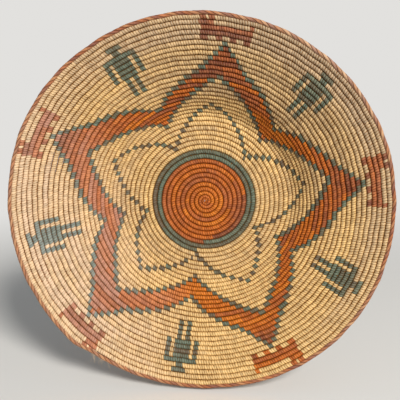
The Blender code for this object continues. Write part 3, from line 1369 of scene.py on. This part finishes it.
# %% Lay the strands of the rim
strand_colours = {
    "brick": ((0.38, 0.130, 0.062), (0.55, 0.21, 0.095), (0.53, 0.31, 0.18), (0.51, 0.26, 0.145)),
    "salmon": ((0.47, 0.200, 0.100), (0.61, 0.30, 0.14), (0.70, 0.47, 0.29), (0.59, 0.34, 0.190)),
    "mauve": ((0.29, 0.118, 0.082), (0.44, 0.18, 0.10), (0.45, 0.27, 0.19), (0.46, 0.255, 0.155)),
}
for strand, (dye, colours) in enumerate(strand_colours.items()):
    mesh = wind_strand(f"rim_strand_{dye}", strand, len(strand_colours))
    material = new_strand_material(f"rim_{dye}", *colours)
    nodes = ["rim_braid"] if strand == 0 else []
    new_piece(f"rim_strand_{dye}", mesh, material, "braid_splint", *nodes)

# %% [markdown]
# ## Loose fibres at the end of the coil
# Where the coil ends, at the lower left, the last ends of splint have frayed into pale hairs. Each hair
# is the same short length of tube repeated a few times, thinned to its tip and bent along a curve that
# leaves the rim and sags. They stand for a handful of fibres, so each one has its own length and bend.

# %% Let a few fibres hang loose
hair_count = 22
hair_steps = 9
sides_in_hair = 4
hair_thickness = 0.00013
hair_thinning = 0.75
hair_lengths = (0.003, 0.012)
hair_angles = (231.5, 238.5)
hair_root_edge = coil_end + 0.4
hair_root_lift = 0.0035
lone_hair_angle = 243.0
lone_hair_length = 0.007
hair_tones = (0.8, 0.9)

# Outwards, sideways, forwards and curl, as shares of a hair's length
least_bends = (0.2, -1.1, -0.3, -0.2)
most_bends = (0.9, 1.1, 0.9, 0.5)


def bend_hair(tube, angle, length, outwards, sideways, forwards, curl):
    """World points of a hair that leaves the rim at this angle and falls away in a curve."""
    share = np.clip((tube[:, 2] + 0.5) / hair_steps, 0.0, 1.0)
    side = np.arctan2(tube[:, 1], tube[:, 0])
    root = off_profile(2 * np.pi * angle / 360.0, hair_root_edge, hair_root_lift, 0.0, 0.0)
    out_x, out_z = math.cos(math.radians(angle)), math.sin(math.radians(angle))
    thickness = hair_thickness * (1.0 - hair_thinning * share)
    reach = length * share
    drop = curl * length * share**2
    x = root[0] + out_x * outwards * reach - out_z * sideways * reach + thickness * np.cos(side)
    y = root[1] - forwards * reach + thickness * np.sin(side)
    z = root[2] + out_z * outwards * reach + out_x * sideways * reach - drop
    return np.stack([x, y, z], axis=-1)


def new_hairs():
    """All the loose fibres as one mesh; the first one hangs alone, lower down."""
    bm = bmesh.new()
    for hair in range(hair_count):
        piece = new_string("hair", new_segment(sides_in_hair), hair_steps, merged=True)
        angle = float(random.uniform(*hair_angles)) if hair else lone_hair_angle
        length = float(random.uniform(*hair_lengths)) if hair else lone_hair_length
        bends = random.uniform(least_bends, most_bends)
        set_vertices(piece, bend_hair(vertex_places(piece), angle, length, *bends))
        close_ends(piece)
        bm.from_mesh(piece)
        bpy.data.meshes.remove(piece)
    mesh = finish_mesh(bm, "loose_fibres")
    add_attribute(mesh, "splint_place", 0.0, 0.0, 1.0)
    add_attribute(mesh, "splint_tone", *hair_tones)
    return mesh


new_piece("loose_fibres", new_hairs(), bare_splint, "natural_splint")

# %% [markdown]
# ## Floor, background and light
# The basket stands on a plain pale floor that fades into the background with distance, so that no edge
# shows. The background is pale only for rays from the camera and for reflections: the light of the
# world itself is lower. A large lamp to the upper right is the main light, and the world fills the rest.

# %% Make the floor
floor_size = 3.0
floor_segments = 96
floor_gap = 0.001
floor_roughness = 0.9
haze_from = 0.45
haze_full = 1.3
background = (0.76, 0.75, 0.73)


def add_blend(tree, share, first, second, output):
    """Blends two shaders by a share, and makes the blend the surface."""
    blend = tree.nodes.new("ShaderNodeMixShader")
    tree.links.new(share, blend.inputs[0])
    tree.links.new(first.outputs[0], blend.inputs[1])
    tree.links.new(second.outputs[0], blend.inputs[2])
    tree.links.new(blend.outputs[0], output.inputs["Surface"])


def new_floor_material():
    """Pale matt floor that turns into the plain background with distance."""
    material, tree, shader = new_material("pale_floor")
    shader.inputs["Base Color"].default_value = (*background, 1.0)
    shader.inputs["Roughness"].default_value = floor_roughness
    coordinates = tree.nodes.new("ShaderNodeTexCoord").outputs["Object"]
    distance = tree.nodes.new("ShaderNodeVectorMath")
    distance.operation = "LENGTH"
    tree.links.new(coordinates, distance.inputs[0])
    far = add_range(tree, distance.outputs["Value"], haze_from, haze_full)
    glow = tree.nodes.new("ShaderNodeEmission")
    glow.inputs["Color"].default_value = (*background, 1.0)
    add_blend(tree, far, shader, glow, tree.nodes["Material Output"])
    return material


def make_floor():
    """Round pale floor under the rim."""
    bm = bmesh.new()
    bmesh.ops.create_circle(bm, cap_ends=True, radius=floor_size, segments=floor_segments)
    bmesh.ops.translate(bm, verts=bm.verts, vec=(0.0, 0.0, frame_low.z - floor_gap))
    mesh = finish_mesh(bm, "floor")
    mesh.materials.append(new_floor_material())
    floor = add_object("floor", mesh)
    floor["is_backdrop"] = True


make_floor()
print(f"the floor lies {1000 * floor_gap:.0f} mm under the frame")

# %% Make the light
world_light = 0.27
world_colour = (0.93, 0.97, 1.0)
key_power = 173.0
key_size = 0.9
key_colour = (1.0, 0.97, 0.92)
key_place = Vector((1.60, -2.86, 2.14))


def add_lamp(name, place, power, size, colour):
    """Square soft lamp that faces the middle of the basket."""
    data = bpy.data.lights.new(name, "AREA")
    data.energy = power
    data.size = size
    data.color = colour
    lamp = add_object(name, data)
    lamp.location = place
    lamp.rotation_mode = "QUATERNION"
    lamp.rotation_quaternion = (-place).to_track_quat("-Z", "Y")


def make_world():
    """Even light, with a pale background for the camera and for reflections."""
    world = bpy.data.worlds.new("studio")
    bpy.context.scene.world = world
    world.use_nodes = True
    tree = world.node_tree
    light = tree.nodes["Background"]
    light.inputs["Color"].default_value = (*world_colour, 1.0)
    light.inputs["Strength"].default_value = world_light
    seen = tree.nodes.new("ShaderNodeBackground")
    seen.inputs["Color"].default_value = (*background, 1.0)
    path = tree.nodes.new("ShaderNodeLightPath")
    shown = add_math(tree, "MAXIMUM", path.outputs["Is Camera Ray"], path.outputs["Is Glossy Ray"])
    shown = add_math(tree, "MAXIMUM", shown, path.outputs["Is Transmission Ray"])
    add_blend(tree, shown, light, seen, tree.nodes["World Output"])


add_lamp("key", key_place, key_power, key_size, key_colour)
make_world()
bpy.context.scene.view_settings.view_transform = "Standard"
print(f"the key lamp hangs {key_place.length:.1f} m from the basket")

# %% [markdown]
# ## Checking the size
# The dressed basket has to keep the size of the frame. Both boxes are written down to be compared.

# %% Compare the boxes and finish
low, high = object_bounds()
for side, name in enumerate("xyz"):
    low_change = 1000 * (low[side] - frame_low[side])
    high_change = 1000 * (high[side] - frame_high[side])
    print(f"{name}: {low_change:+.1f} and {high_change:+.1f} mm")
